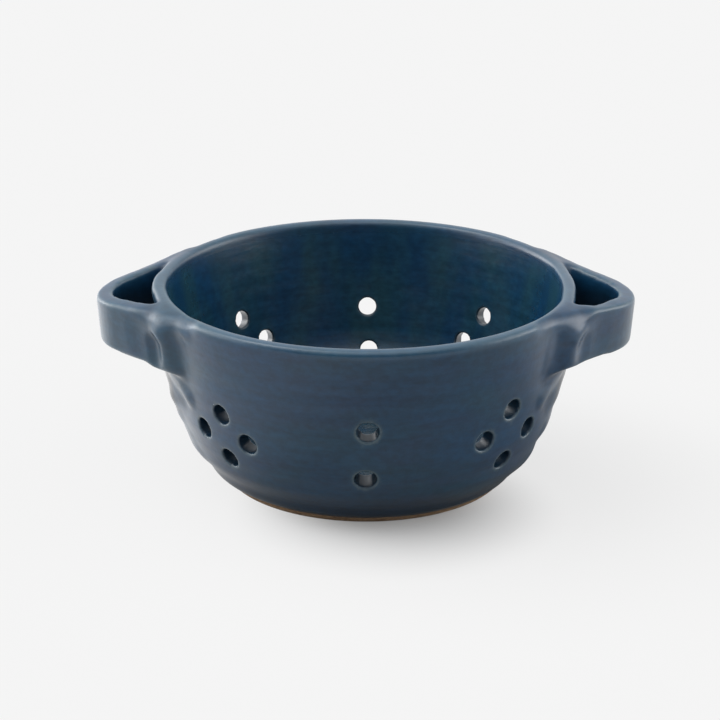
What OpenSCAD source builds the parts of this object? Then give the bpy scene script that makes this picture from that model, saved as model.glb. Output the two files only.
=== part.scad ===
// Berry colander bowl: a small thrown stoneware bowl with punched drain holes
// and a strap handle luted on at each side of the rim.
// Millimetres. +X runs through the handles, +Z is up, and the origin is on the
// table under the middle of the foot.

/* [Bowl] */
// Radius of the bowl to the outside of its rim
rim_r = 76; // [68:0.5:84]
// Height from the table to the top of the rim
bowl_h = 72.8; // [66:0.2:82]
// Thickness of the wall from the rim down to the belly
wall_t = 5.1; // [4:0.1:7]
// Lean of the straight upper wall, in degrees from upright
wall_lean = 10.5; // [8:0.5:11.5]
// Height of the top of the belly's curve, where the straight wall starts
belly_h = 30; // [26:1:36]
// Lean of the belly's curve there, in degrees from upright
belly_lean = 12.5; // [11:0.5:15]
// Height of the floor's top over the table
floor_h = 9; // [8:0.5:12]
// Radius of the curve inside, between floor and wall
inner_curve_r = 30; // [24:1:32]

/* [Foot] */
// Radius of the foot where it meets the table
foot_r = 50.2; // [46:0.2:54]
// Width of the ring that the bowl stands on
foot_w = 6.4; // [4:0.2:9]
// Height of the ring, and depth of the hollow inside it
foot_h = 3; // [2:0.2:4]

/* [Drain holes] */
// Diameter of each hole
hole_d = 8; // [5:0.5:9]
// Height of the upper holes' centres
upper_hole_h = 41.4; // [39:0.2:44]
// Height of the side holes' centres in a group of four
side_hole_h = 31.6; // [30:0.2:34]
// Height of the lower holes' centres
lower_hole_h = 23; // [20:0.2:25]
// Distance between the two side holes of a group of four
side_hole_gap = 22; // [16:0.5:26]
// Direction of the groups of four, in degrees from the handles' line
group_angle = 44; // [40:1:50]
// Number of holes round the middle of the floor
floor_holes = 6; // [4:1:8]
// Radius of the circle that those holes stand on
floor_circle_r = 24; // [18:0.5:28]

/* [Handles] */
// How far a handle's tip stands out past the rim
handle_out = 20.9; // [18:0.1:26]
// Direction that a handle's straight legs face, in degrees from the handles' line
leg_angle = 45; // [43:1:47]
// How far the legs' outer faces lie inside the rim's circle
leg_inset = 0.6; // [0.3:0.1:1.2]
// Direction of the place where a leg ends in the wall, in degrees from the handles' line
root_angle = 36; // [34:1:38]
// Thickness of the strap
strap_t = 5.8; // [4.6:0.1:7.5]
// Height of the strap at its tip
strap_h = 17.4; // [14:0.2:20]
// Drop of the strap's top from the rim to the tip
strap_drop = 4.6; // [2:0.2:7]
// How much deeper the strap is where it meets the wall
root_flare = 2.5; // [0:0.5:4]
// Radius of the strap's long edges
strap_edge_r = 2.2; // [1:0.1:2.3]
// Lean of the strap's faces, in degrees from upright
strap_lean = 8; // [5:0.5:10]

/* [Hidden] */
$fn = 96;

glaze_colour = [0.18, 0.27, 0.37];
clay_colour = [0.46, 0.37, 0.29];

// How far a cutting shape runs past the face that it cuts
overrun = 1;

// Outline of the bowl, as [radius, height]: the wall's outer and inner lines
// both touch the half round of the rim
rim_round = wall_t / 2;
rim_centre = [rim_r - rim_round, bowl_h - rim_round];
wall_out = [cos(wall_lean), -sin(wall_lean)];
rim_outer = rim_centre + rim_round * wall_out;
rim_inner = rim_centre - rim_round * wall_out;
function outer_wall_r(z) = rim_outer[0] - (rim_outer[1] - z) * tan(wall_lean);
function inner_wall_r(z) = rim_inner[0] - (rim_inner[1] - z) * tan(wall_lean);

// The belly's arc runs from the foot to the outer line
belly_out = [cos(belly_lean), -sin(belly_lean)];
belly_top = [outer_wall_r(belly_h), belly_h];
belly_span = belly_top - [foot_r, 0];
belly_arc_r = belly_span * belly_span / (2 * belly_out * belly_span);
belly_centre = belly_top - belly_arc_r * belly_out;

// The curve inside touches the floor and runs up to the inner line
curve_top_h = floor_h + inner_curve_r * (1 - sin(belly_lean));
curve_top = [inner_wall_r(curve_top_h), curve_top_h];
curve_centre = curve_top - inner_curve_r * belly_out;

// The outside's radius at a height, and the tilt there of a hole square to the wall
function arc_drop(z) = belly_centre[1] - z;
function belly_r(z) = belly_centre[0] + sqrt(pow(belly_arc_r, 2) - pow(arc_drop(z), 2));
function outer_r(z) = z < belly_h ? belly_r(z) : outer_wall_r(z);
function hole_tilt(z) = z < belly_h ? asin(arc_drop(z) / belly_arc_r) : wall_lean;
hole_depth = 3 * wall_t;
side_angle = asin(side_hole_gap / 2 / outer_r(side_hole_h));

// Plan of a handle: a round tip, and two straight legs that run from it into the
// wall. The sweep follows the outer top edge.
handle_reach = rim_r + handle_out;
leg_line = rim_r - leg_inset;
tip_arc_r = (leg_line - handle_reach * cos(leg_angle)) / (1 - cos(leg_angle));
tip_centre = handle_reach - tip_arc_r;
leg_len = (leg_line - tip_arc_r) * tan(leg_angle) - leg_line * tan(leg_angle - root_angle);
function tip_point(a) = [tip_centre + tip_arc_r * cos(a), tip_arc_r * sin(a)];
function leg_point(side, run) = let (corner = tip_point(leg_angle))
    [corner[0] - run * sin(leg_angle), side * (corner[1] + run * cos(leg_angle))];

// Changes along a leg: the outside runs down into the wall at its end, the inside
// fills the gap's sharp corner, and the underside falls to the root
dive_len = 2.2 * strap_t;
dive = strap_t;
fill_start = 1.2 * strap_t;
fill_len = 1.6 * strap_t;
fill = 1.3 * strap_t;
root_sink = 0.1 * wall_t;
function past(run, start, length) = pow(min(1, max(0, run - start) / length), 2);

// Stations of the sweep, as [point, direction that the outside faces, run along the leg]
leg_steps = 14;
tip_steps = 12;
sweep = [
    for (i = [leg_steps:-1:1]) let (run = leg_len * i / leg_steps)
        [leg_point(-1, run), -leg_angle, run],
    for (i = [0:tip_steps]) let (a = leg_angle * (2 * i / tip_steps - 1))
        [tip_point(a), a, 0],
    for (i = [1:leg_steps]) let (run = leg_len * i / leg_steps)
        [leg_point(1, run), leg_angle, run]
];

// The strap's section: a round-edged oblong, from its outer top corner round
corner_steps = 4;
corner_turns = [90, 0, -90, -180];
section_size = len(corner_turns) * (corner_steps + 1);

function section(station) =
    let (
        at = station[0],
        facing = station[1],
        run = station[2],
        root_share = (handle_reach - at[0]) / (handle_reach - leg_point(1, leg_len)[0]),
        top = bowl_h - root_sink - (strap_drop - root_sink) * (1 - root_share),
        bottom = bowl_h - strap_drop - strap_h - root_flare * pow(root_share, 2),
        outside = -dive * past(run, leg_len - dive_len, dive_len),
        inside = -strap_t - fill * past(run, fill_start, fill_len),
        centres = [
            [outside - strap_edge_r, top - strap_edge_r],
            [outside - strap_edge_r, bottom + strap_edge_r],
            [inside + strap_edge_r, bottom + strap_edge_r],
            [inside + strap_edge_r, top - strap_edge_r]
        ]
    )
    [
        for (c = [0:len(corner_turns) - 1], j = [0:corner_steps])
            let (
                turn = corner_turns[c] - 90 * j / corner_steps,
                z = centres[c][1] + strap_edge_r * sin(turn),
                out = centres[c][0] + strap_edge_r * cos(turn) - (top - z) * tan(strap_lean)
            )
            [at[0] + out * cos(facing), at[1] + out * sin(facing), z]
    ];

// Everything inside a circle that the wall's line crosses, and above that place
module curve_and_above(centre, radius) {
    translate(centre)
        circle(r = radius);
    translate([0, centre[1] - radius * sin(wall_lean)])
        square([2 * rim_r, bowl_h]);
}

module outer_profile() {
    intersection() {
        polygon([[0, 0], [outer_wall_r(0), 0], rim_outer, rim_inner, [0, rim_inner[1]]]);
        curve_and_above(belly_centre, belly_arc_r);
    }
    translate(rim_centre)
        circle(r = rim_round);
}

module hollow_profile() {
    intersection() {
        polygon([
            [0, 0],
            [inner_wall_r(0), 0],
            rim_inner,
            [rim_inner[0], bowl_h + overrun],
            [0, bowl_h + overrun]
        ]);
        curve_and_above(curve_centre, inner_curve_r);
    }
    translate([0, floor_h])
        square([curve_centre[0], inner_curve_r]);
}

// The bowl's outer shape with no hollow, which the straps are cut to
module filled_bowl() {
    rotate_extrude() {
        outer_profile();
        square([rim_centre[0], bowl_h]);
    }
}

module wall_hole(angle, z) {
    rotate([0, 0, angle])
        translate([outer_r(z), 0, z])
            rotate([0, 90 + hole_tilt(z), 0])
                cylinder(h = 2 * hole_depth, d = hole_d, center = true);
}

module hole_pair(angle) {
    wall_hole(angle, upper_hole_h);
    wall_hole(angle, lower_hole_h);
}

module hole_group(angle) {
    hole_pair(angle);
    for (side = [-1, 1])
        wall_hole(angle + side * side_angle, side_hole_h);
}

module floor_hole() {
    cylinder(h = floor_h + overrun, d = hole_d);
}

module bowl() {
    color(glaze_colour)
        difference() {
            rotate_extrude()
                difference() {
                    outer_profile();
                    hollow_profile();
                    translate([0, -overrun])
                        square([rim_r, foot_h + overrun]);
                }
            for (quarter = [0:3]) {
                hole_pair(90 * quarter);
                hole_group((quarter % 2 == 0 ? 1 : -1) * group_angle + 180 * floor(quarter / 2));
            }
            floor_hole();
            for (i = [0:floor_holes - 1])
                rotate([0, 0, 360 * i / floor_holes])
                    translate([floor_circle_r, 0, 0])
                        floor_hole();
        }
}

module foot_ring() {
    color(clay_colour)
        rotate_extrude()
            intersection() {
                outer_profile();
                translate([foot_r - foot_w, 0])
                    square([rim_r, foot_h]);
            }
}

module strap() {
    last = len(sweep) - 1;
    polyhedron(
        points = [for (station = sweep) each section(station)],
        faces = [
            [for (j = [0:section_size - 1]) j],
            [for (j = [0:section_size - 1]) last * section_size + section_size - 1 - j],
            for (i = [0:last - 1], j = [0:section_size - 1])
                let (
                    a = i * section_size + j,
                    b = i * section_size + (j + 1) % section_size
                )
                each [[a, a + section_size, b], [b, a + section_size, b + section_size]]
        ]
    );
}

module right_handle() {
    color(glaze_colour)
        difference() {
            strap();
            filled_bowl();
        }
}

module left_handle() {
    mirror([1, 0, 0])
        right_handle();
}

bowl();
foot_ring();
left_handle();
right_handle();
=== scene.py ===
import math

import bpy
import numpy as np
from mathutils import Matrix, Vector
from mathutils.bvhtree import BVHTree


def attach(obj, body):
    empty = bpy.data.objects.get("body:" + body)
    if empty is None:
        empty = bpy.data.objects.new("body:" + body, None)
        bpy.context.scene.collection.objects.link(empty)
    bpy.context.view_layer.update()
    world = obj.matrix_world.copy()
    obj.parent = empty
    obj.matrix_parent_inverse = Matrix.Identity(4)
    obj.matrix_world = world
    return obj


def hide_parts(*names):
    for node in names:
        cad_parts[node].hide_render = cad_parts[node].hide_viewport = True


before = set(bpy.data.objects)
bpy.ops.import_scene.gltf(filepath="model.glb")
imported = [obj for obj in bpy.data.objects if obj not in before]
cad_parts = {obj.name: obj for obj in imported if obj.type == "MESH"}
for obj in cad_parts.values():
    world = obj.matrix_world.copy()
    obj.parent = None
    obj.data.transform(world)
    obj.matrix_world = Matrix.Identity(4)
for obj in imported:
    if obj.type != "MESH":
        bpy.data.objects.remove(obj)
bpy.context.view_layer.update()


# Camera.
# It stands in front of the bowl and looks down on it by a third of a radian, with a
# long lens, so that the rim shows as a flat oval.
CAMERA_PLACE = (-0.00201, -0.8348, 0.34764)
CAMERA_DOWN = 0.35115
CAMERA_ROLL = 0.00243
LENS = 122.76
SENSOR_WIDTH = 36

camera_turn = (Matrix.Rotation(math.pi / 2 - CAMERA_DOWN, 3, "X")
               @ Matrix.Rotation(CAMERA_ROLL, 3, "Z"))
bpy.ops.object.camera_add(location=CAMERA_PLACE, rotation=camera_turn.to_euler())
camera = bpy.context.object
camera.data.lens = LENS
camera.data.sensor_width = SENSOR_WIDTH
bpy.context.scene.camera = camera


# Table and studio light.
# A wide matt white table in a dim room, with soft boxes low behind the left and at the
# right of the bowl and a wide one over it. Nothing shines from the camera's side.
TABLE_SIZE = 12
TABLE_WHITE = (0.38, 0.38, 0.38, 1)
TABLE_GLOW = (0.945, 0.945, 0.945, 1)
TABLE_ROUGH = 0.9
# The share of plain white that the camera sees on the table, small in the bowl's shadow
SHADOW_PLACE = (0.011, -0.040, 0)
SHADOW_START, SHADOW_END = 0.012, 0.062
WHITE_IN_SHADOW, WHITE_BEYOND = 0.20, 0.79
SUN_PLACE = (0.045, -0.025, 0)
SUN_START, SUN_END = 0.03, 0.13
SUN_SHARE = 0.10
# What a glossy surface mirrors: a white table, brighter behind the left of the bowl
SHINE_PLACE = (0.05, -0.06, 0)
SHINE_START, SHINE_END = 0.075, 0.16
SHINE_RIGHT, SHINE_LEFT = 1.32, 2.35
LEFT_START, LEFT_END = 0.03, -0.12
BEHIND_START, BEHIND_END = -0.04, 0.08
BACKDROP_WHITE = 0.887
BACKDROP_START, BACKDROP_END = 0.3, 0.9
# Direction and height in degrees, strength, and how narrow each soft box is
SOFT_BOXES = [(150, 6, 6.8, 14), (185, 6, 2.8, 12), (175, 40, 1.9, 14), (187, 56, 4.6, 30),
              (5, 6, 5.8, 9), (0, 90, 1.68, 3), (270, 60, 0.82, 5)]


def node(tree, kind, inputs=(), **settings):
    """A node with its settings, and with a value or a link on each named input."""
    made = tree.nodes.new("ShaderNode" + kind)
    for name, value in settings.items():
        setattr(made, name, value)
    for name, value in dict(inputs).items():
        if isinstance(value, bpy.types.NodeSocket):
            tree.links.new(value, made.inputs[name])
        else:
            made.inputs[name].default_value = value
    return made


def worked(tree, operation, *values):
    """What one sum makes of two or three values."""
    return node(tree, "Math", dict(enumerate(values)), operation=operation).outputs[0]


def ranged(tree, value, start, end, low=0.0, high=1.0, rise="SMOOTHSTEP"):
    """A value that goes from low at the start of a range to high at its end."""
    limits = {"Value": value, "From Min": start, "From Max": end, "To Min": low, "To Max": high}
    return node(tree, "MapRange", limits, interpolation_type=rise).outputs["Result"]


def distance(tree, place, spot):
    """How far every place is from a spot."""
    return node(tree, "VectorMath", {0: place, 1: spot}, operation="DISTANCE").outputs["Value"]


bpy.ops.object.select_all(action="DESELECT")
bpy.ops.mesh.primitive_plane_add(size=TABLE_SIZE)
table = bpy.context.object
table.name = "table"
table_paint = bpy.data.materials.new("table_paint")
table_paint.use_nodes = True
tree = table_paint.node_tree
paint = tree.nodes["Principled BSDF"]
paint.inputs["Base Color"].default_value = TABLE_WHITE
paint.inputs["Roughness"].default_value = TABLE_ROUGH
paint.inputs["Specular IOR Level"].default_value = 0.0
path = node(tree, "LightPath").outputs
place = node(tree, "TexCoord").outputs["Object"]
spot = node(tree, "SeparateXYZ", {0: place}).outputs
behind_left = worked(tree, "MULTIPLY", ranged(tree, spot["X"], LEFT_START, LEFT_END),
                     ranged(tree, spot["Y"], BEHIND_START, BEHIND_END))
extra = ranged(tree, behind_left, 0.0, 1.0, SHINE_RIGHT - 1, SHINE_LEFT - 1, "LINEAR")
shine = worked(tree, "MULTIPLY_ADD", path["Is Glossy Ray"], extra, 1.0)
glow = node(tree, "Emission", {"Color": TABLE_GLOW, "Strength": shine})
shaded = ranged(tree, distance(tree, place, SHADOW_PLACE), SHADOW_START, SHADOW_END,
                WHITE_IN_SHADOW, WHITE_BEYOND)
sunny = ranged(tree, distance(tree, place, SUN_PLACE), SUN_START, SUN_END, 0.0, SUN_SHARE)
bright = ranged(tree, distance(tree, place, SHINE_PLACE), SHINE_START, SHINE_END)
mirrored = worked(tree, "MULTIPLY", path["Is Glossy Ray"], bright)
white = worked(tree, "MULTIPLY_ADD", path["Is Camera Ray"],
               worked(tree, "ADD", shaded, sunny), mirrored)
blend = node(tree, "MixShader", {"Fac": white, 1: paint.outputs[0], 2: glow.outputs[0]})
tree.links.new(blend.outputs[0], tree.nodes["Material Output"].inputs["Surface"])
table.data.materials.append(table_paint)

scene = bpy.context.scene
scene.view_settings.view_transform = "Standard"
room = bpy.data.worlds.new("room")
scene.world = room
room.use_nodes = True
tree = room.node_tree
toward = node(tree, "TexCoord").outputs["Generated"]
light = 0.0
for direction, height, strength, narrow in SOFT_BOXES:
    across, up = math.radians(direction), math.radians(height)
    aim = (math.cos(up) * math.cos(across), math.cos(up) * math.sin(across), math.sin(up))
    aimed = node(tree, "VectorMath", {0: toward, 1: aim}, operation="DOT_PRODUCT").outputs["Value"]
    spread = worked(tree, "POWER", worked(tree, "MAXIMUM", aimed, 0.0), narrow)
    light = worked(tree, "MULTIPLY_ADD", spread, strength, light)
path = node(tree, "LightPath").outputs
backdrop = ranged(tree, node(tree, "SeparateXYZ", {0: toward}).outputs["Y"],
                  BACKDROP_START, BACKDROP_END)
light = worked(tree, "ADD", light, worked(tree, "MULTIPLY", path["Is Glossy Ray"], backdrop))
lit = node(tree, "Mix", {0: path["Is Camera Ray"], 2: light, 3: BACKDROP_WHITE})
tree.links.new(lit.outputs[0], tree.nodes["Background"].inputs["Strength"])
tree.nodes["Background"].inputs["Color"].default_value = (1, 1, 1, 1)


# Thrown bowl.
# Stoneware clay is centred on the wheel, opened, and pulled up into a small bowl with
# a round belly, a straight wall and a half round rim. Its foot is turned later.
MM = 0.001
POINTS_AROUND = 256
RIM_RADIUS = 76.0
RIM_HEIGHT = 72.4
RIM_SQUARE = 0.72
WALL = 5.1
WALL_LEAN = math.radians(10.5)
BELLY_CENTRE = (16.11, 41.65)
BELLY_RADIUS = 53.82
BELLY_TOP = 30.0
INNER_CENTRE = (34.65, 39.0)
INNER_RADIUS = 30.0
INNER_TOP = 32.5
FLOOR_TOP = 9.0
FLOOR_WAVE = 0.12
FOOT_RADIUS = 50.2
FOOT_INNER = 43.6
FOOT_RECESS = 3.3
RIDGE_OUTSIDE, RIDGE_INSIDE = 0.06, 0.07
# First ring, end and step: heights outside and inside, and radii on the floor
OUTSIDE_RINGS = (4.2, 69.4, 1.35)
INSIDE_RINGS = (69.0, 9.2, -1.4)
FLOOR_RINGS = (33.0, 3.0, -2.0)
LIP_RINGS = 17

rim_centre = (RIM_RADIUS - WALL / 2, RIM_HEIGHT - WALL / 2)


def outer_radius(z):
    """Radius of the bowl's outside at a height, in millimetres."""
    if z < BELLY_TOP:
        return BELLY_CENTRE[0] + math.sqrt(BELLY_RADIUS ** 2 - (z - BELLY_CENTRE[1]) ** 2)
    wall_end = rim_centre[0] + WALL / 2 * math.cos(WALL_LEAN)
    return wall_end - (rim_centre[1] - WALL / 2 * math.sin(WALL_LEAN) - z) * math.tan(WALL_LEAN)


def inner_radius(z):
    """Radius of the bowl's inside at a height, in millimetres."""
    if z < INNER_TOP:
        return INNER_CENTRE[0] + math.sqrt(INNER_RADIUS ** 2 - (z - INNER_CENTRE[1]) ** 2)
    wall_end = rim_centre[0] - WALL / 2 * math.cos(WALL_LEAN)
    return wall_end - (rim_centre[1] + WALL / 2 * math.sin(WALL_LEAN) - z) * math.tan(WALL_LEAN)


def finger_ridge(z, depth):
    """The faint ridges that the thrower's fingers leave, fading out at rim and foot."""
    fade = min(1, max(0, z - 6) / 8) * min(1, max(0, 66 - z) / 10)
    wave = math.sin(z * 0.93 + 0.6) + 0.6 * math.sin(z * 0.41 + 2.1)
    return depth * fade * wave


def squared(share):
    """Turns a round lip into one with a flatter top."""
    return math.copysign(abs(share) ** RIM_SQUARE, share)


def begin(obj):
    """Enter edit mode on one object alone, with nothing selected."""
    bpy.ops.object.select_all(action="DESELECT")
    obj.select_set(True)
    bpy.context.view_layer.objects.active = obj
    bpy.ops.object.mode_set(mode="EDIT")
    bpy.ops.mesh.select_all(action="DESELECT")


def finish():
    """Leave edit mode, with every face pointing outwards."""
    bpy.ops.mesh.select_all(action="SELECT")
    bpy.ops.mesh.normals_make_consistent(inside=False)
    bpy.ops.object.mode_set(mode="OBJECT")


def turn(outline):
    """A solid turned from an outline of radius and height, ring by ring, in millimetres."""
    bpy.ops.object.select_all(action="DESELECT")
    bpy.ops.mesh.primitive_circle_add(vertices=POINTS_AROUND, radius=outline[0][0] * MM,
                                      fill_type="NGON", location=(0, 0, outline[0][1] * MM))
    bpy.ops.object.transform_apply(location=True, rotation=True, scale=True)
    turned = bpy.context.object
    begin(turned)
    bpy.ops.mesh.select_all(action="SELECT")
    last = outline[0]
    for ring in outline[1:]:
        rise = (0, 0, (ring[1] - last[1]) * MM)
        bpy.ops.mesh.extrude_region_move(TRANSFORM_OT_translate={"value": rise})
        scale = ring[0] / last[0]
        bpy.ops.transform.resize(value=(scale, scale, 1), center_override=(0, 0, ring[1] * MM))
        last = ring
    finish()
    return turned


foot_line = [(FOOT_INNER, FOOT_RECESS), (FOOT_INNER + 0.5, FOOT_RECESS - 0.35),
             (FOOT_INNER + 0.8, 1.2), (FOOT_INNER + 1.3, 0.35), (FOOT_INNER + 2.3, 0.0),
             (FOOT_RADIUS - 0.3, 0.0), (FOOT_RADIUS + 0.5, 0.22), (FOOT_RADIUS + 1.0, 0.75),
             (FOOT_RADIUS + 1.4, 1.7), (FOOT_RADIUS + 2.0, 2.8)]
outside = [(outer_radius(z) + finger_ridge(z, RIDGE_OUTSIDE), z)
           for z in np.arange(*OUTSIDE_RINGS)]
lip = [(rim_centre[0] + WALL / 2 * squared(math.cos(a)),
        rim_centre[1] + WALL / 2 * squared(math.sin(a)))
       for a in np.linspace(-WALL_LEAN, math.pi - WALL_LEAN, LIP_RINGS)]
inside = [(inner_radius(z) + finger_ridge(z + 3, RIDGE_INSIDE), z)
          for z in np.arange(*INSIDE_RINGS)]
floor_line = [(r, FLOOR_TOP + FLOOR_WAVE * math.sin(r * 0.9)) for r in np.arange(*FLOOR_RINGS)]
clay = turn(foot_line + outside + lip + inside + floor_line)
clay.name = "clay"


# Handles.
# Each is a pulled strap of clay, bent round to a soft point and luted to the wall at
# both ends just under the rim, where the potter's thumbs press it home.
HANDLE_REACH = 97.0
LEG_ANGLE = 45
LEG_LINE = 75.5
LEG_LENGTH = 41.0
LEG_STEPS = 16
TIP_STEPS = 14
STRAP_THICK = 6.2
STRAP_LEAN = math.radians(7)
STRAP_EDGE = 2.0
EDGE_AT_TIP, EDGE_AT_ROOT = 67.6, 71.9
LOW_AT_TIP, LOW_AT_ROOT = 50.6, 49.0
ROOT_PLACE = 68
# Along a leg, the inside thickens into the gap's corner and the outside dives into the wall
THICKEN_FROM, THICKEN_LENGTH, THICKEN = 10, 14, 7.0
DIVE_FRONT, DIVE_BACK, DIVE = 23, 31, 5
# What of a strap would stand inside the bowl is cut off, between these heights
CUT_LOW, CUT_HIGH = 40, 80
CUT_SPARE = 1.5

tip_turn = math.radians(LEG_ANGLE)
tip_radius = (LEG_LINE - HANDLE_REACH * math.cos(tip_turn)) / (1 - math.cos(tip_turn))
tip_centre = HANDLE_REACH - tip_radius


def strap_stations():
    """Where the strap goes: its outside's place and direction, and how far along a leg."""
    stations = []
    corner = Vector((tip_centre + tip_radius * math.cos(tip_turn),
                     tip_radius * math.sin(tip_turn)))
    for i in range(LEG_STEPS, 0, -1):
        run = LEG_LENGTH * i / LEG_STEPS
        stations.append((corner.x - run * math.sin(tip_turn),
                         -corner.y - run * math.cos(tip_turn), -tip_turn, run))
    for i in range(TIP_STEPS + 1):
        a = tip_turn * (2 * i / TIP_STEPS - 1)
        stations.append((tip_centre + tip_radius * math.cos(a), tip_radius * math.sin(a), a, 0))
    for i in range(1, LEG_STEPS + 1):
        run = LEG_LENGTH * i / LEG_STEPS
        stations.append((corner.x - run * math.sin(tip_turn),
                         corner.y + run * math.cos(tip_turn), tip_turn, run))
    return stations


def eased(run, start, length):
    """From 0 to 1, slowly at first, over a length of the leg."""
    return min(1, max(0, run - start) / length) ** 2


def strap_shape(station):
    """Middle, direction, thickness and height of the strap at a station."""
    x, y, a, run = station
    share = min(1, (HANDLE_REACH - x) / (HANDLE_REACH - ROOT_PLACE))
    edge = EDGE_AT_TIP + (EDGE_AT_ROOT - EDGE_AT_TIP) * share
    low = LOW_AT_TIP + (LOW_AT_ROOT - LOW_AT_TIP) * share ** 2
    dive_from = DIVE_FRONT if y < 0 else DIVE_BACK
    dive = DIVE * eased(run, dive_from, LEG_LENGTH - dive_from)
    thick = STRAP_THICK + THICKEN * eased(run, THICKEN_FROM, THICKEN_LENGTH)
    high = (edge - low) / math.cos(STRAP_LEAN)
    inward = dive + (thick * math.cos(STRAP_LEAN) + high * math.sin(STRAP_LEAN)) / 2
    half_way = edge + (thick * math.sin(STRAP_LEAN) - high * math.cos(STRAP_LEAN)) / 2
    place = Vector((x - inward * math.cos(a), y - inward * math.sin(a), half_way)) * MM
    return place, a, thick, high


def pull_handle():
    """One strap, drawn out station by station from its first end."""
    stations = [strap_shape(s) for s in strap_stations()]
    place, a, thick, high = stations[0]
    bpy.ops.object.select_all(action="DESELECT")
    bpy.ops.mesh.primitive_cube_add(size=1, location=place, rotation=(0, STRAP_LEAN, a),
                                    scale=(thick * MM, MM, high * MM))
    bpy.ops.object.transform_apply(location=True, rotation=True, scale=True)
    strap = bpy.context.object
    along = Vector((-math.sin(a), math.cos(a), 0))
    begin(strap)
    bpy.ops.mesh.select_mode(type="EDGE")
    bpy.ops.object.mode_set(mode="OBJECT")
    for edge in strap.data.edges:
        first, second = (strap.data.vertices[v].co for v in edge.vertices)
        edge.select = abs((second - first).normalized().dot(along)) > 0.9
    bpy.ops.object.mode_set(mode="EDIT")
    bpy.ops.mesh.bevel(offset=STRAP_EDGE * MM, segments=6, profile=0.5)
    bpy.ops.mesh.select_mode(type="FACE")
    bpy.ops.mesh.select_all(action="DESELECT")
    bpy.ops.object.mode_set(mode="OBJECT")
    for face in strap.data.polygons:
        face.select = face.normal.dot(along) > 0.9
    bpy.ops.object.mode_set(mode="EDIT")
    for next_place, next_a, next_thick, next_high in stations[1:]:
        bpy.ops.mesh.extrude_region_move(TRANSFORM_OT_translate={"value": next_place - place})
        if next_a != a:
            bpy.ops.transform.rotate(value=a - next_a, orient_axis="Z",
                                     center_override=next_place)
        bpy.ops.transform.resize(value=(next_thick / thick, 1, next_high / high),
                                 orient_matrix=Matrix.Rotation(next_a, 3, "Z"),
                                 orient_matrix_type="GLOBAL", orient_type="GLOBAL",
                                 center_override=next_place)
        place, a, thick, high = next_place, next_a, next_thick, next_high
    finish()
    return strap


def modify(obj, kind, **settings):
    """Give an object a modifier and apply it."""
    bpy.ops.object.select_all(action="DESELECT")
    obj.select_set(True)
    bpy.context.view_layer.objects.active = obj
    bpy.ops.object.modifier_add(type=kind)
    modifier = obj.modifiers[-1]
    for name, value in settings.items():
        setattr(modifier, name, value)
    bpy.ops.object.modifier_apply(modifier=modifier.name)


def combine(obj, other, operation):
    """Join, cut or keep what is common, and use the other object up."""
    modify(obj, "BOOLEAN", operation=operation, object=other, solver="MANIFOLD")
    bpy.data.objects.remove(other)


right_strap = pull_handle()
bpy.ops.object.duplicate()
left_strap = bpy.context.object
begin(left_strap)
bpy.ops.mesh.select_all(action="SELECT")
bpy.ops.transform.resize(value=(-1, 1, 1), center_override=(0, 0, 0))
finish()
strap_trees = []
for strap in (right_strap, left_strap):
    bpy.ops.object.select_all(action="DESELECT")
    bpy.ops.mesh.primitive_cone_add(vertices=128, radius1=(inner_radius(CUT_LOW) + CUT_SPARE) * MM,
                                    radius2=(inner_radius(CUT_HIGH) + CUT_SPARE) * MM,
                                    depth=(CUT_HIGH - CUT_LOW) * MM,
                                    location=(0, 0, (CUT_LOW + CUT_HIGH) / 2 * MM))
    bpy.ops.object.transform_apply(location=True, rotation=True, scale=True)
    combine(strap, bpy.context.object, "DIFFERENCE")
    strap_trees.append(BVHTree.FromObject(strap, bpy.context.evaluated_depsgraph_get()))
    combine(clay, strap, "UNION")


# Wiped joints.
# Soft clay is wiped into the corner between strap and wall. Only the hollow places of a
# strongly smoothed copy of the pot are taken over, so that the straps' edges stay.
COARSE = 0.8
FILLET_ROUNDS = 150
# How far from a strap, and how far out from the wall, the wiping fades away
STRAP_FADE = (8, 15)
WALL_START = (-5.5, -2.5)
WALL_FADE = (9, 15)


def places(obj):
    """The vertices' places in millimetres."""
    numbers = np.empty(len(obj.data.vertices) * 3)
    obj.data.vertices.foreach_get("co", numbers)
    return numbers.reshape(-1, 3) / MM


def put_back(obj, points):
    """Give the vertices new places, in millimetres."""
    obj.data.vertices.foreach_set("co", (points * MM).ravel())
    obj.data.update()


def ends_of_edges(obj):
    """The two vertices of every edge."""
    numbers = np.empty(len(obj.data.edges) * 2, dtype=np.int32)
    obj.data.edges.foreach_get("vertices", numbers)
    return numbers.reshape(-1, 2)


def normals(obj):
    """The direction that the clay faces at every vertex."""
    numbers = np.empty(len(obj.data.vertices) * 3)
    obj.data.vertex_normals.foreach_get("vector", numbers)
    return numbers.reshape(-1, 3)


def weigh(obj, name, weights):
    """A vertex group from one weight for each vertex, in steps of a tenth."""
    steps = np.round(np.clip(weights, 0, 1) * 10).astype(int)
    made = obj.vertex_groups.new(name=name)
    for step in range(1, 11):
        made.add(np.nonzero(steps == step)[0].tolist(), step / 10, "REPLACE")


def settle(values, ends, rounds):
    """Every value drawn half way to the mean of its neighbours, round after round."""
    size = len(values)
    neighbours = np.bincount(ends.ravel(), minlength=size)
    for _ in range(rounds):
        for k in range(values.shape[1]):
            column = values[:, k]
            total = (np.bincount(ends[:, 0], column[ends[:, 1]], size)
                     + np.bincount(ends[:, 1], column[ends[:, 0]], size))
            values[:, k] = column + 0.5 * (total / neighbours - column)
    return values


def ramp(values, start, end):
    """From 0 at one value to 1 at another, smooth at both."""
    share = np.clip((values - start) / (end - start), 0, 1)
    return share * share * (3 - 2 * share)


def from_axis(points):
    """How far the points are from the wheel's axis."""
    return np.hypot(points[:, 0], points[:, 1])


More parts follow.
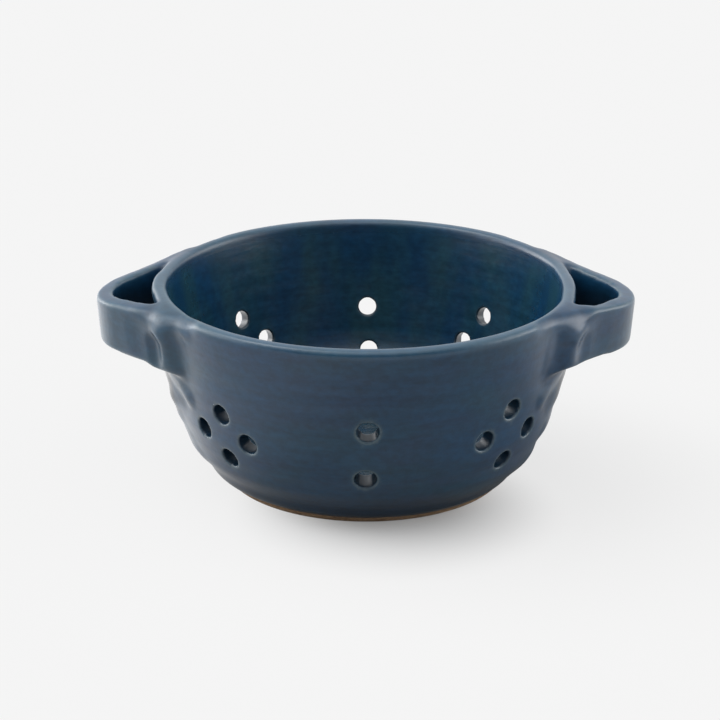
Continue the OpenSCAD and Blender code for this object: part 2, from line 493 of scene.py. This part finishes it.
def radius_there(points, radius):
    """A radius of the bowl at the height of every point."""
    heights = range(75)
    return np.interp(points[:, 2], heights, [radius(z) for z in heights])


modify(clay, "REMESH", mode="VOXEL", voxel_size=COARSE * MM)
modify(clay, "SMOOTH", factor=0.5, iterations=2)
points = places(clay)
ends = ends_of_edges(clay)
from_wall = from_axis(points) - radius_there(points, outer_radius)
near_joint = ((points[:, 2] > 30) & (np.abs(points[:, 0]) > 34)
              & (np.abs(from_wall) < 16) & (from_wall > WALL_START[0]))
wiping = np.zeros(len(points))
for strap_tree, side in zip(strap_trees, (1, -1)):
    chosen = np.nonzero(near_joint & (points[:, 0] * side > 0))[0]
    from_strap = np.array([strap_tree.find_nearest(Vector(p) * MM)[3]
                           for p in points[chosen]]) / MM
    wiping[chosen] = 1 - ramp(from_strap, *STRAP_FADE)
wiping *= ramp(from_wall, *WALL_START) * (1 - ramp(from_wall, *WALL_FADE))
soft = settle(points.copy(), ends, FILLET_ROUNDS)
outward = ((soft - points) * normals(clay)).sum(1)
points += (soft - points) * (wiping * ramp(outward, 0.0, 0.35))[:, None]
put_back(clay, points)
weigh(clay, "joint", wiping * (from_wall > -3))
modify(clay, "SMOOTH", factor=0.5, iterations=10, vertex_group="joint")


# Thumb and finger marks.
# The thumbs leave a low ridge where a strap's end was pressed on, with a dimple before
# it and a hollow behind it, and drag clay down the wall. Fingers groove the lower wall.
SHOULDER_ROUNDS = 120
SHOULDER_REACH = 8.5
SHOULDER_SHARE = 0.9
SHOULDER_FROM = (71.2, 75.2)
CORNER_ROUNDS = 200
# Line down each gap's front corner, and how far the filling reaches from it
GAP_CORNERS = [([(-76.8, -14, 73), (-75.5, -14, 46)], 7), ([(77.2, -13, 73), (76, -13, 46)], 10)]
STRAP_FACE = 106.8
BACK_SHARE = 0.5
RIGHT_SHARE = 1.2
DIMPLE_LEFT, DIMPLE_RIGHT = -1.8, -0.7
WIPED_DOWN = {-1: 2.1, 1: 1.7}
DRAG_REACH, DRAG_SIDE_REACH = 12, 5.5
# Line of spots, push, and reach of what is uneven at the sides: the left strap sags at its
# root and the right one is lifted, the wall swells out under the left strap, and both sides
# of the rim sit a little to the left
UNEVEN_SIDES = [
    ([(-74, -31, 48.5), (-68, -36, 48)], (0, 0, -1.6), 8),
    ([(-67, -18, 34), (-66, -16, 29)], (-0.9, 0, 0), 7),
    ([(84, -20, 50), (78, -26, 49.5)], (0, 0, 0.7), 6),
    ([(75, -8, 72), (75, 8, 72), (72, 0, 55)], (-0.9, 0, 0), 16),
    ([(-76, -5, 70), (-76, 5, 70)], (-0.6, 0, 0), 9),
]
# The same of the shallow finger marks at the sides of the lower wall
FINGER_MARKS = [
    ([(63, -24, 16.5), (64.5, 0, 16.5)], (-0.35, 0, 0), 6),
    ([(57, -22, 10), (60, 0, 10)], (0.6, 0, 0), 7),
    ([(-63, -22, 19), (-66, 0, 19)], (-0.5, 0, 0), 7),
    ([(-64, -20, 26.5), (-67, 0, 26.5)], (-0.35, 0, 0), 5),
    ([(-59, -24, 13), (-63, 0, 13)], (-0.6, 0, 0), 7),
    ([(63, -20, 24), (66, 0, 24)], (0.6, 0, 0), 6),
]
GROOVE_HEIGHT = 7.5
GROOVE_TILT = 2.0
GROOVE_HIGHEST = math.radians(200)
# Height over the groove's middle, height of half a wave, and how far the wall stands out
GROOVE_WAVES = [(6, 3.0, 0.35), (0, 2.2, -0.45), (-4, 2.0, 0.55)]
GROOVE_START, GROOVE_FADE = (0.8, 3), (30, 36)
BACK_RISE = 0.35


def near(points, line, reach):
    """From 1 along a line of spots to 0 at a distance from it, smooth at both."""
    line = np.array(line, dtype=float)
    away = np.full(len(points), np.inf)
    for start, end in zip(line, line[1:]):
        along = end - start
        share = np.clip((points - start) @ along / (along @ along), 0, 1)
        away = np.minimum(away, np.linalg.norm(points - start - share[:, None] * along, axis=1))
    return (np.clip(1 - (away / reach) ** 2, 0, 1) ** 2)[:, None]


def press(points, line, move, reach):
    """Clay pushed along a line of spots, and less and less away from it."""
    points += near(points, line, reach) * np.array(move)


def on_strap(side, front, shift, line):
    """Spots on a leg's outer face, from how far out and how high each of them is."""
    return [(side * (x + shift), front * (STRAP_FACE - x - shift), z) for x, z in line]


# The strap's upper edge runs softly into the rim, whose inner half keeps its line
points = places(clay)
ends = ends_of_edges(clay)
soft = settle(points.copy(), ends, SHOULDER_ROUNDS)
for side in (-1, 1):
    shoulder = [(side * 76, -31, 70), (side * 70, -36.5, 70.5), (side * 63, -43.5, 71)]
    outer_half = ramp(from_axis(points), *SHOULDER_FROM)[:, None]
    softened = (soft - points) * near(points, shoulder, SHOULDER_REACH)
    points += softened * SHOULDER_SHARE * outer_half
# The front corner of each gap is filled, on the right more
soft = settle(soft, ends, CORNER_ROUNDS)
outward = ((soft - points) * normals(clay)).sum(1)[:, None]
for corner, reach in GAP_CORNERS:
    points += (soft - points) * near(points, corner, reach) * ramp(outward, 0, 0.4)
press(points, [(84, -16, 70), (80, -19, 70)], (0.3, -1.0, -0.4), 5)
# Ridge, its upper end, dimple, shallow hollow before it, and hollow behind the ridge
for side in (-1, 1):
    for front in (-1, 1):
        strength = (1.0 if front < 0 else BACK_SHARE) * (RIGHT_SHARE if side > 0 else 1)
        shift = 3.0 if side > 0 and front < 0 else 1.0
        dimple = DIMPLE_RIGHT if side > 0 else DIMPLE_LEFT
        out = np.array((side, front, 0)) / math.sqrt(2)
        for line, push, reach in (([(70.2, 62.0), (69.2, 58.5), (69.6, 54.5)], 0.85, 7.2),
                                  ([(73.6, 63.6), (72.0, 63.2), (70.6, 61.5)], 0.35, 3.4),
                                  ([(74.2, 59.0), (73.8, 54.5)], dimple, 5.2),
                                  ([(79.0, 61.0), (78.5, 57.0)], -0.6, 9),
                                  ([(65.5, 62.0), (65.0, 52.0)], -0.7, 6)):
            press(points, on_strap(side, front, shift, line), out * push * strength, reach)
# The left strap's upper edge rolls over on to the wall as a broad lip
press(points, [(-71.0, -36.0, 68.0), (-65, -41.0, 68.6)], (-0.6, -0.9, -0.1), 9)
# Clay dragged down the wall under each strap
for side, wiped in WIPED_DOWN.items():
    press(points, [(side * 69, 10, 44), (side * 68, -18, 43), (side * 66.5, -20, 39)],
          (side * wiped, 0, 0), DRAG_REACH)
    press(points, [(side * 69.5, -26, 47), (side * 66, -31, 43.5), (side * 62.8, -35, 40)],
          (side * 0.6 * wiped, -0.4, 0), DRAG_SIDE_REACH)
for line, push, reach in UNEVEN_SIDES + FINGER_MARKS:
    press(points, line, push, reach)
# A groove of the thrower's fingers runs round the belly over the foot, lower on the right
direction = np.arctan2(points[:, 1], points[:, 0])
over_groove = points[:, 2] - GROOVE_HEIGHT - GROOVE_TILT * np.cos(direction - GROOVE_HIGHEST)
wave = sum(out * np.exp(-((over_groove - height) / width) ** 2)
           for height, width, out in GROOVE_WAVES)
away = from_axis(points)
wave *= ramp(away - radius_there(points, outer_radius), -3, -1)
wave *= ramp(points[:, 2], *GROOVE_START) * (1 - ramp(points[:, 2], *GROOVE_FADE))
points[:, :2] *= (1 + wave / np.maximum(away, 1))[:, None]
# The rim stands a little higher at the back
points[:, 2] += BACK_RISE * ramp(points[:, 2], 40, 70) * ramp(points[:, 1], 10, 60)
put_back(clay, points)
modify(clay, "SMOOTH", factor=0.5, iterations=4, vertex_group="joint")


# Drain holes.
# They are punched through the leather-hard wall from outside with a tapering cutter: a
# pair or a group of four at a time, and seven in the floor. Their lips are wiped soft.
HOLE_WIDE = 7.9
HOLE_NARROW = 7.6
FLOOR_HOLE = 8.0
FLOOR_CIRCLE = 24
FLOOR_HOLES = 6
FLOOR_MIDDLE = 6
PUNCH_LENGTH = 16
PUNCH_TAPER = 0.13
FINE = 0.5
# Direction from the axis in degrees, height, and width of each hole in the wall
WALL_HOLES = [
    (-89.4, 42.1, HOLE_WIDE), (-90.0, 23.4, HOLE_WIDE),
    (-135.0, 40.2, HOLE_NARROW), (-144.6, 31.6, HOLE_NARROW),
    (-126.1, 31.5, HOLE_NARROW), (-135.2, 23.3, HOLE_NARROW),
    (-44.7, 42.5, HOLE_NARROW), (-35.0, 32.0, HOLE_NARROW),
    (-53.8, 33.0, HOLE_NARROW), (-43.9, 22.5, HOLE_NARROW),
    (89.3, 39.6, HOLE_WIDE), (88.7, 22.9, HOLE_WIDE),
    (135.4, 40.8, HOLE_NARROW), (126.5, 31.4, HOLE_NARROW),
    (144.6, 31.8, HOLE_NARROW), (135.0, 22.8, HOLE_NARROW),
    (46.9, 41.7, HOLE_NARROW), (54.0, 30.4, HOLE_NARROW),
    (36.2, 31.2, HOLE_NARROW), (45.2, 22.6, HOLE_NARROW),
    (0.6, 40.9, HOLE_WIDE), (-0.4, 23.2, HOLE_WIDE),
    (179.5, 41.2, HOLE_WIDE), (180.3, 23.0, HOLE_WIDE),
]


def facing(angle, z):
    """Direction that the wall's outside faces at a place."""
    lean = WALL_LEAN if z > BELLY_TOP else math.asin((BELLY_CENTRE[1] - z) / BELLY_RADIUS)
    return Vector((math.cos(angle) * math.cos(lean), math.sin(angle) * math.cos(lean),
                   -math.sin(lean)))


def punch(place, direction, width):
    """One cutter, as wide as the hole at the wall's outer face and narrower inwards."""
    narrow_end = width / 2 - PUNCH_TAPER * (PUNCH_LENGTH + WALL) / 2
    wide_end = width / 2 + PUNCH_TAPER * (PUNCH_LENGTH - WALL) / 2
    bpy.ops.mesh.primitive_cone_add(vertices=40, radius1=narrow_end * MM, radius2=wide_end * MM,
                                    depth=PUNCH_LENGTH * MM, location=place,
                                    rotation=direction.to_track_quat("Z", "Y").to_euler())
    bpy.ops.object.transform_apply(location=True, rotation=True, scale=True)
    return bpy.context.object


holes = []
for degrees, z, width in WALL_HOLES:
    angle = math.radians(degrees)
    radius = (outer_radius(z) - WALL / 2) * MM
    middle = (radius * math.cos(angle), radius * math.sin(angle), z * MM)
    holes.append((middle, facing(angle, z), width))
upright = Vector((0, 0, 1))
holes.append(((0, 0, FLOOR_MIDDLE * MM), upright, FLOOR_HOLE))
for i in range(FLOOR_HOLES):
    angle = 2 * math.pi * i / FLOOR_HOLES
    middle = (FLOOR_CIRCLE * math.cos(angle) * MM, FLOOR_CIRCLE * math.sin(angle) * MM,
              FLOOR_MIDDLE * MM)
    holes.append((middle, upright, FLOOR_HOLE))
punches = [punch(*hole) for hole in holes]
bpy.ops.object.select_all(action="DESELECT")
for cutter in punches:
    cutter.select_set(True)
bpy.context.view_layer.objects.active = punches[0]
bpy.ops.object.join()
combine(clay, bpy.context.object, "DIFFERENCE")
modify(clay, "REMESH", mode="VOXEL", voxel_size=FINE * MM)
modify(clay, "SMOOTH", factor=0.5, iterations=3)


# Glaze.
# One blue glaze covers everything but the foot's underside. It runs thin on every edge,
# where the clay's grey-brown shows through, and lies deeper and darker inside the bowl. Shade is
# painted into the holes' bores, the handles' gaps, hollows and the lower wall, and a painted
# highlight lightens broad rounded forms.
MESH_FACES = 236000
GLAZE_BLUE = (0.0045, 0.033, 0.078, 1)
GLAZE_TEAL = (0.0060, 0.037, 0.068, 1)
GLAZE_PLUM = (0.0090, 0.029, 0.068, 1)
INSIDE_NAVY = (0.0035, 0.029, 0.070, 1)
INSIDE_TEAL = (0.0100, 0.041, 0.060, 1)
# Painted shade: near black in the holes' bores and deep in the handles' gaps
HOLE_AND_GAP_SHADE = (0.0020, 0.0095, 0.019, 1)
THIN_GREY = (0.105, 0.120, 0.105, 1)
# Painted highlight: a lighter blue on broad rounded forms such as the rim and the straps
HIGHLIGHT_BLUE = (0.060, 0.150, 0.215, 1)
PLUM_SHARE = 0.8
HIGHLIGHT_SHARE = 0.5
HOLE_AND_GAP_SHADE_SHARE = 0.85
THIN_SHARE = 0.75
LIP_THIN = 0.6
# How dark painted shade makes hollows, the lower wall and the handles' gaps
HOLLOW_SHADE_DARK = 0.5
GAP_SHADE = 0.9
# How far the clay stands out where the glaze starts to run thin, and where it is thinnest
EDGE_THIN, EDGE_ROUNDS = (0.06, 0.24), 10
# How far broad forms stand out where a painted highlight lightens them, or lie deep where painted
# shade darkens them
HIGHLIGHT_PROUD, HOLLOW_SHADE_DEPTH, BROAD_ROUNDS = (0.10, 0.95), (0.05, 0.8), 60
# Heights over which the painted shade towards the foot fades out
LOW_SHADE_HEIGHTS = (4, 18)
# Where each mark starts, is full, fades and ends: by height, and from a hole's edge and
# outwards from the middle of its wall
INSIDE_HEIGHTS = (5, 8, 66.5, 71)
# Along a hole's bore, where its painted shade starts, is full, fades and ends
HOLE_SHADE_REACH = (-4.4, -3.4, 1.9, 2.8)
LIP_EDGE, LIP_REACH = (-0.1, 0.3, 0.5, 1.1), (0.8, 1.6, 5, 6)
# The handles' gaps: half of one's middle line, its reach, and where its painted shade fades
GAP_LINE = [(75.5, 20), (80, 12), (82.5, 0)]
GAP_REACH = 10
GAP_OUTER = (97, 100)
GAP_SHADE_TOP, GAP_HOLLOW_SHADE_TOP = (59, 66), (63, 68)
CLOUD_SHADE, LINE_SHADE = (0.84, 1.18), (0.88, 1.12)
THIN_PATCHY = 0.55
SATIN_LOW, SATIN_HIGH = 0.28, 0.35
INSIDE_SATIN = 0.22
BORE_SATIN = 0.32
# Shares of throwing lines, slow swells and fine skin in the glaze's height
LINES_HIGH, SLOW_HIGH, PEEL_HIGH = 0.35, 0.6, 0.18
SKIN_DEPTH = 0.00012
SKIN_STRENGTH = 0.5
GLAZE_SPECULAR = 0.45


def mark(obj, name, values):
    """A value for each vertex that the glaze reads."""
    attribute = obj.data.attributes.new(name, "FLOAT", "POINT")
    attribute.data.foreach_set("value", values.astype(np.float32))


def proud(points, ends, outwards, rounds, calm):
    """How far the clay stands out from what is round it, or lies deeper where below 0."""
    above = ((points - settle(points.copy(), ends, rounds)) * outwards).sum(1)[:, None]
    return settle(above, ends, calm)[:, 0]


def band(values, start, full, fading, end):
    """From 0 to 1 between the first two values, and back to 0 between the last two."""
    return ramp(values, start, full) * (1 - ramp(values, fading, end))


# The foot's lowest points lie on the table, not under it
points = places(clay)
points[:, 2] = np.maximum(points[:, 2], 0)
put_back(clay, points)
ends = ends_of_edges(clay)
outwards = normals(clay)
height = points[:, 2]
edge = proud(points, ends, outwards, EDGE_ROUNDS, 1)
broad = proud(points, ends, outwards, BROAD_ROUNDS, 4)
wall_middle = (radius_there(points, outer_radius)
               + radius_there(points, lambda z: inner_radius(max(z, FLOOR_TOP + 0.1)))) / 2
inside_mark = ramp(wall_middle - from_axis(points), -0.6, 0.6) * band(height, *INSIDE_HEIGHTS)
inside_mark = settle(inside_mark[:, None], ends, 12)[:, 0]
# Each hole's bore is marked for painted shade, and its lip for thin glaze
hole_shade_mark = np.zeros(len(points))
lip_mark = np.zeros(len(points))
for middle, bore_axis, width in holes:
    offset = points - np.array(middle) / MM
    along = offset @ np.array(bore_axis)
    from_bore = np.sqrt(np.maximum((offset ** 2).sum(1) - along ** 2, 0)) - width / 2
    hole_shade_mark = np.maximum(hole_shade_mark, (1 - ramp(from_bore, -0.2, 0.3))
                           * band(along, *HOLE_SHADE_REACH))
    lip_mark = np.maximum(lip_mark, band(from_bore, *LIP_EDGE) * band(along, *LIP_REACH))
# The handles' gaps are marked for painted shade, which fades out upwards
gap = np.zeros(len(points))
for side in (-1, 1):
    gap_line = ([(side * x, -y, 0) for x, y in GAP_LINE]
                + [(side * x, y, 0) for x, y in GAP_LINE[-2::-1]])
    near_gap = near(points * (1, 1, 0), gap_line, GAP_REACH)[:, 0]
    gap = np.maximum(gap, np.clip(near_gap * 4, 0, 1))
gap *= (1 - inside_mark) * (1 - ramp(np.abs(points[:, :2]).sum(1), *GAP_OUTER))
# Painted shade in hollows, low on the wall and deep in the handles' gaps
shaded_hollows = np.maximum(ramp(-broad, *HOLLOW_SHADE_DEPTH), 1 - ramp(height, *LOW_SHADE_HEIGHTS))
mark(clay, "thin", np.maximum(ramp(edge, *EDGE_THIN), LIP_THIN * lip_mark))
# Painted highlight on broad rounded forms
mark(clay, "painted_highlight", ramp(broad, *HIGHLIGHT_PROUD))
mark(clay, "hole_and_gap_shade", np.maximum(hole_shade_mark, GAP_SHADE * gap * (1 - ramp(height, *GAP_SHADE_TOP))))
mark(clay, "hollow_shade", np.maximum(shaded_hollows, gap * (1 - ramp(height, *GAP_HOLLOW_SHADE_TOP))))
mark(clay, "inside", inside_mark)
modify(clay, "DECIMATE", ratio=min(1, MESH_FACES / (2 * len(clay.data.polygons))))
bpy.ops.object.shade_smooth()


def marked(tree, name):
    """The value that a mark gives."""
    return node(tree, "Attribute", attribute_name=name).outputs["Fac"]


def clouds(tree, stretch, scale, detail, low, high):
    """Soft clouds from 0 to 1, drawn out or squeezed along each axis."""
    place = node(tree, "TexCoord").outputs["Object"]
    drawn = node(tree, "Mapping", {"Vector": place, "Scale": stretch}).outputs[0]
    noise = node(tree, "TexNoise", {"Vector": drawn, "Scale": scale, "Detail": detail})
    return ranged(tree, noise.outputs["Fac"], low, high)


def scaled(tree, value, low, high):
    """A value from 0 to 1 made to run from low to high."""
    return ranged(tree, value, 0.0, 1.0, low, high, "LINEAR")


def mixed(tree, share, first, second):
    """One colour running into another."""
    return node(tree, "Mix", {0: share, 6: first, 7: second}, data_type="RGBA").outputs[2]


def between(tree, share, first, second):
    """One value running into another."""
    return node(tree, "Mix", {0: share, 2: first, 3: second}).outputs[0]


def times(tree, first, second):
    """Two values multiplied."""
    return worked(tree, "MULTIPLY", first, second)


def darker(tree, colour, share):
    """A colour made darker, or lighter over 1, by a share."""
    return node(tree, "VectorMath", {0: colour, "Scale": share}, operation="SCALE").outputs[0]


glaze_look = bpy.data.node_groups.new("blue_glaze", "ShaderNodeTree")
sockets = glaze_look.interface
sockets.new_socket("Break", in_out="INPUT", socket_type="NodeSocketFloat").default_value = 1.0
sockets.new_socket("Colour", in_out="OUTPUT", socket_type="NodeSocketColor")
sockets.new_socket("Roughness", in_out="OUTPUT", socket_type="NodeSocketFloat")
sockets.new_socket("Height", in_out="OUTPUT", socket_type="NodeSocketFloat")
tree = glaze_look
asked = tree.nodes.new("NodeGroupInput")
given = tree.nodes.new("NodeGroupOutput")

wide = clouds(tree, (1, 1, 2.2), 22, 2, 0.30, 0.70)
other = clouds(tree, (1, 1.3, 2.6), 34, 3, 0.40, 0.75)
fine = clouds(tree, (1, 1, 1.4), 330, 4, 0.25, 0.75)
streak = clouds(tree, (1, 1, 0.25), 75, 2, 0.30, 0.72)
lines = clouds(tree, (0.12, 0.12, 1), 420, 3, 0.25, 0.75)
outer_colour = mixed(tree, times(tree, other, PLUM_SHARE),
                     mixed(tree, wide, GLAZE_BLUE, GLAZE_TEAL), GLAZE_PLUM)
inner_colour = mixed(tree, streak, INSIDE_NAVY, INSIDE_TEAL)
body = mixed(tree, marked(tree, "inside"), outer_colour, inner_colour)
shade = times(tree, scaled(tree, fine, *CLOUD_SHADE), scaled(tree, lines, *LINE_SHADE))
body = darker(tree, body, shade)
# Painted shade: darker in hollows, towards the foot and deep in the handles' gaps
body = darker(tree, body, scaled(tree, marked(tree, "hollow_shade"), 1.0, HOLLOW_SHADE_DARK))
# Painted shade: near black in the holes' bores and deep in the handles' gaps
hole_and_gap_shade = marked(tree, "hole_and_gap_shade")
body = mixed(tree, times(tree, hole_and_gap_shade, HOLE_AND_GAP_SHADE_SHARE), body, HOLE_AND_GAP_SHADE)
# Painted highlight: lighter blue on broad rounded forms
body = mixed(tree, times(tree, marked(tree, "painted_highlight"), HIGHLIGHT_SHARE), body, HIGHLIGHT_BLUE)
# The thin glaze is patchy on the edges, and there is none of it where the bores and gaps have
# painted shade
thin = times(tree, marked(tree, "thin"), scaled(tree, fine, THIN_PATCHY, 1.0))
thin = times(tree, times(tree, thin, asked.outputs["Break"]), worked(tree, "SUBTRACT", 1.0, hole_and_gap_shade))
body = mixed(tree, times(tree, thin, THIN_SHARE), body, THIN_GREY)
tree.links.new(body, given.inputs["Colour"])
rough = scaled(tree, wide, SATIN_LOW, SATIN_HIGH)
rough = between(tree, marked(tree, "inside"), rough, INSIDE_SATIN)
rough = between(tree, hole_and_gap_shade, rough, BORE_SATIN)
tree.links.new(rough, given.inputs["Roughness"])
peel = clouds(tree, (1, 1, 1), 700, 3, 0.2, 0.8)
slow = clouds(tree, (1, 1, 1.6), 120, 2, 0.2, 0.8)
skin = worked(tree, "MULTIPLY_ADD", slow, SLOW_HIGH, times(tree, peel, PEEL_HIGH))
skin = worked(tree, "ADD", times(tree, lines, LINES_HIGH), skin)
tree.links.new(skin, given.inputs["Height"])

glaze = bpy.data.materials.new("glaze")
glaze.use_nodes = True
tree = glaze.node_tree
look = node(tree, "Group", node_tree=glaze_look)
look.inputs["Break"].default_value = 1.0
bump = node(tree, "Bump", {"Height": look.outputs["Height"], "Distance": SKIN_DEPTH,
                           "Strength": SKIN_STRENGTH})
shader = tree.nodes["Principled BSDF"]
tree.links.new(look.outputs["Colour"], shader.inputs["Base Color"])
tree.links.new(look.outputs["Roughness"], shader.inputs["Roughness"])
tree.links.new(bump.outputs["Normal"], shader.inputs["Normal"])
shader.inputs["Specular IOR Level"].default_value = GLAZE_SPECULAR


# Bowl.
# The thrown part alone, down to the line where its foot was turned. The handles' joints
# are wiped smooth, so the glaze runs over them without a break.
SEAM_OFFSET = 1.5
SEAM_HEIGHT = 3.0
SEAM_RINGS = (SEAM_HEIGHT, 76, 1.5)


def copy_of(obj):
    """A copy with its own mesh."""
    bpy.ops.object.select_all(action="DESELECT")
    obj.select_set(True)
    bpy.context.view_layer.objects.active = obj
    bpy.ops.object.duplicate()
    return bpy.context.object


def bowl_form():
    """The thrown bowl's outline with a little to spare, filled."""
    return turn([(outer_radius(z) + SEAM_OFFSET, z) for z in np.arange(*SEAM_RINGS)])


def dress(piece, name, material, node_name):
    """Name a finished piece, give it its finish, and keep the whole pot's smooth normals."""
    piece.name = name
    piece.data.name = name
    piece.data.materials.clear()
    piece.data.materials.append(material)
    for face in piece.data.polygons:
        face.material_index = 0
    modify(piece, "DATA_TRANSFER", object=clay, use_loop_data=True,
           data_types_loops={"CUSTOM_NORMAL"}, loop_mapping="POLYINTERP_NEAREST")
    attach(piece, "root")
    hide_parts(node_name)


bowl = copy_of(clay)
combine(bowl, bowl_form(), "INTERSECT")
dress(bowl, "glazed_bowl", glaze, "bowl")


# Handles' outer parts.
# What stands out from the wall at each side: the strap, its wiped ends and the clay that
# was dragged down from them, in the same glaze.
HANDLE_OUT = 120
HANDLE_SIDE = 80
HANDLE_LOW, HANDLE_HIGH = 20, 90


def block(low, high):
    """A cutting block between two corners, in millimetres."""
    bpy.ops.object.select_all(action="DESELECT")
    centre = [(a + b) / 2 * MM for a, b in zip(low, high)]
    bpy.ops.mesh.primitive_cube_add(size=1, location=centre,
                                    scale=[(b - a) * MM for a, b in zip(low, high)])
    bpy.ops.object.transform_apply(location=True, rotation=True, scale=True)
    return bpy.context.object


for side, name, node_name in ((-1, "glazed_left_handle", "left_handle"),
                              (1, "glazed_right_handle", "right_handle")):
    handle = copy_of(clay)
    combine(handle, block((min(0, side * HANDLE_OUT), -HANDLE_SIDE, HANDLE_LOW),
                          (max(0, side * HANDLE_OUT), HANDLE_SIDE, HANDLE_HIGH)), "INTERSECT")
    combine(handle, bowl_form(), "DIFFERENCE")
    dress(handle, name, glaze, node_name)


# Foot ring.
# Turned from the same clay and wiped clean of glaze, so that it doesn't stick to the
# kiln's shelf. Its bare clay is warm brown, and the glaze ends on it in a wavy line.
CLAY_BROWN = (0.370, 0.245, 0.150, 1)
CLAY_DARK = (0.230, 0.145, 0.086, 1)
BARE_LOW, BARE_HIGH = 2.5, 2.95
RUN_OUT = (-0.1, 0.15)
BARE_INSIDE = (48.5, 49.2)
CLAY_ROUGH = 0.85
RUN_ROUGH = 0.38
GRAIN_SHARE = 0.5
GRAIN_DEPTH = 0.0002
GRAIN_STRENGTH = 0.6
CLAY_SPECULAR = 0.3
FOOT_SPARE = 90
FOOT_BELOW = -5

bare_clay = bpy.data.materials.new("bare_clay")
bare_clay.use_nodes = True
tree = bare_clay.node_tree
place = node(tree, "TexCoord").outputs["Object"]
look = node(tree, "Group", node_tree=glaze_look)
look.inputs["Break"].default_value = 1.0
grain = clouds(tree, (1, 1, 1), 900, 5, 0.3, 0.7)
speck = clouds(tree, (1, 1, 1), 260, 3, 0.35, 0.65)
grained = worked(tree, "MULTIPLY_ADD", grain, GRAIN_SHARE, times(tree, speck, 1 - GRAIN_SHARE))
earth = mixed(tree, grained, CLAY_DARK, CLAY_BROWN)
waver = clouds(tree, (1, 1, 0.2), 70, 2, 0.2, 0.8)
glaze_end = scaled(tree, waver, BARE_LOW * MM, BARE_HIGH * MM)
over = worked(tree, "SUBTRACT", node(tree, "SeparateXYZ", {0: place}).outputs["Z"], glaze_end)
covered = ranged(tree, over, RUN_OUT[0] * MM, RUN_OUT[1] * MM, rise="LINEAR")
from_middle = node(tree, "VectorMath", {0: place}, operation="LENGTH").outputs["Value"]
outer_side = ranged(tree, from_middle, BARE_INSIDE[0] * MM, BARE_INSIDE[1] * MM, rise="LINEAR")
covered = times(tree, covered, outer_side)
bump = node(tree, "Bump", {"Height": grain, "Distance": GRAIN_DEPTH, "Strength": GRAIN_STRENGTH})
shader = tree.nodes["Principled BSDF"]
tree.links.new(mixed(tree, covered, earth, look.outputs["Colour"]), shader.inputs["Base Color"])
tree.links.new(between(tree, covered, CLAY_ROUGH, RUN_ROUGH), shader.inputs["Roughness"])
tree.links.new(bump.outputs["Normal"], shader.inputs["Normal"])
shader.inputs["Specular IOR Level"].default_value = CLAY_SPECULAR

foot = copy_of(clay)
combine(foot, block((-FOOT_SPARE, -FOOT_SPARE, FOOT_BELOW),
                    (FOOT_SPARE, FOOT_SPARE, SEAM_HEIGHT)), "INTERSECT")
dress(foot, "foot", bare_clay, "foot_ring")

# The whole pot has served as the pattern, and only its pieces stay
bpy.data.objects.remove(clay)
